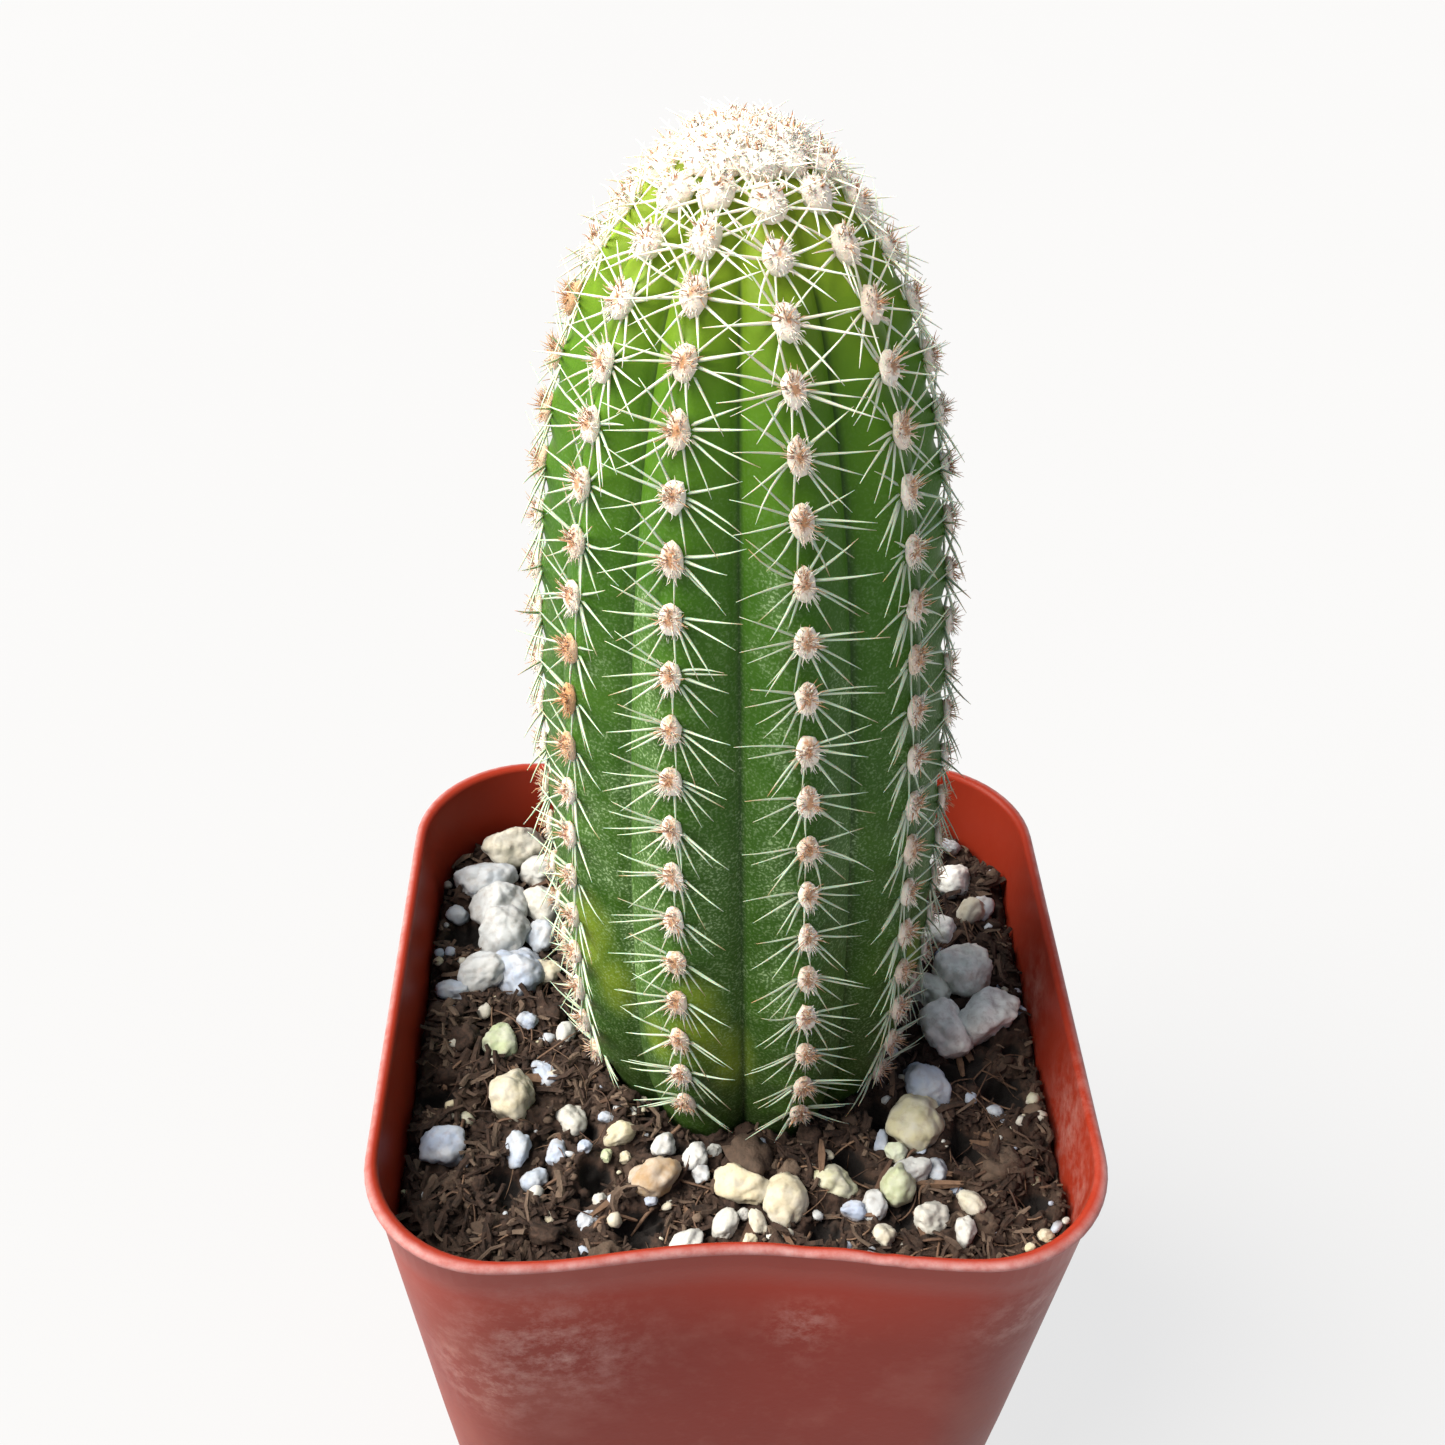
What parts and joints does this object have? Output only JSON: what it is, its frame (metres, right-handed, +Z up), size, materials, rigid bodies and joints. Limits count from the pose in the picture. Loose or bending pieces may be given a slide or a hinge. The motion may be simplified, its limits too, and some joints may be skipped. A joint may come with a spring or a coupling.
{
  "type": "potted rose quartz peanut cactus",
  "caption": "Upright ribbed cactus stem with fine white spines, standing in peat and perlite potting mix in a small tapered square plastic nursery pot.",
  "frame": {"origin": "on the table, under the middle of the pot's square base", "axes": "+Z up along the stem, +X to the right and +Y to the back, with the pressed-in side of the rim at the front on -Y"},
  "size_m": [0.057, 0.057, 0.1318],
  "materials": {
    "pot_plastic": "thin moulded polypropylene, terracotta red, dusty and a little scuffed, with a smoother lip",
    "peat_and_perlite": "loose dark peat with fibres and bark slivers, strewn with white and pale green perlite grains",
    "cactus_skin": "satin green living skin with pale stipple, woolly cream areoles and translucent white spines"
  },
  "bodies": {
    "root": {"pot": "pot_plastic", "potting_mix": "peat_and_perlite", "cactus": "cactus_skin"}
  },
  "joints": []
}
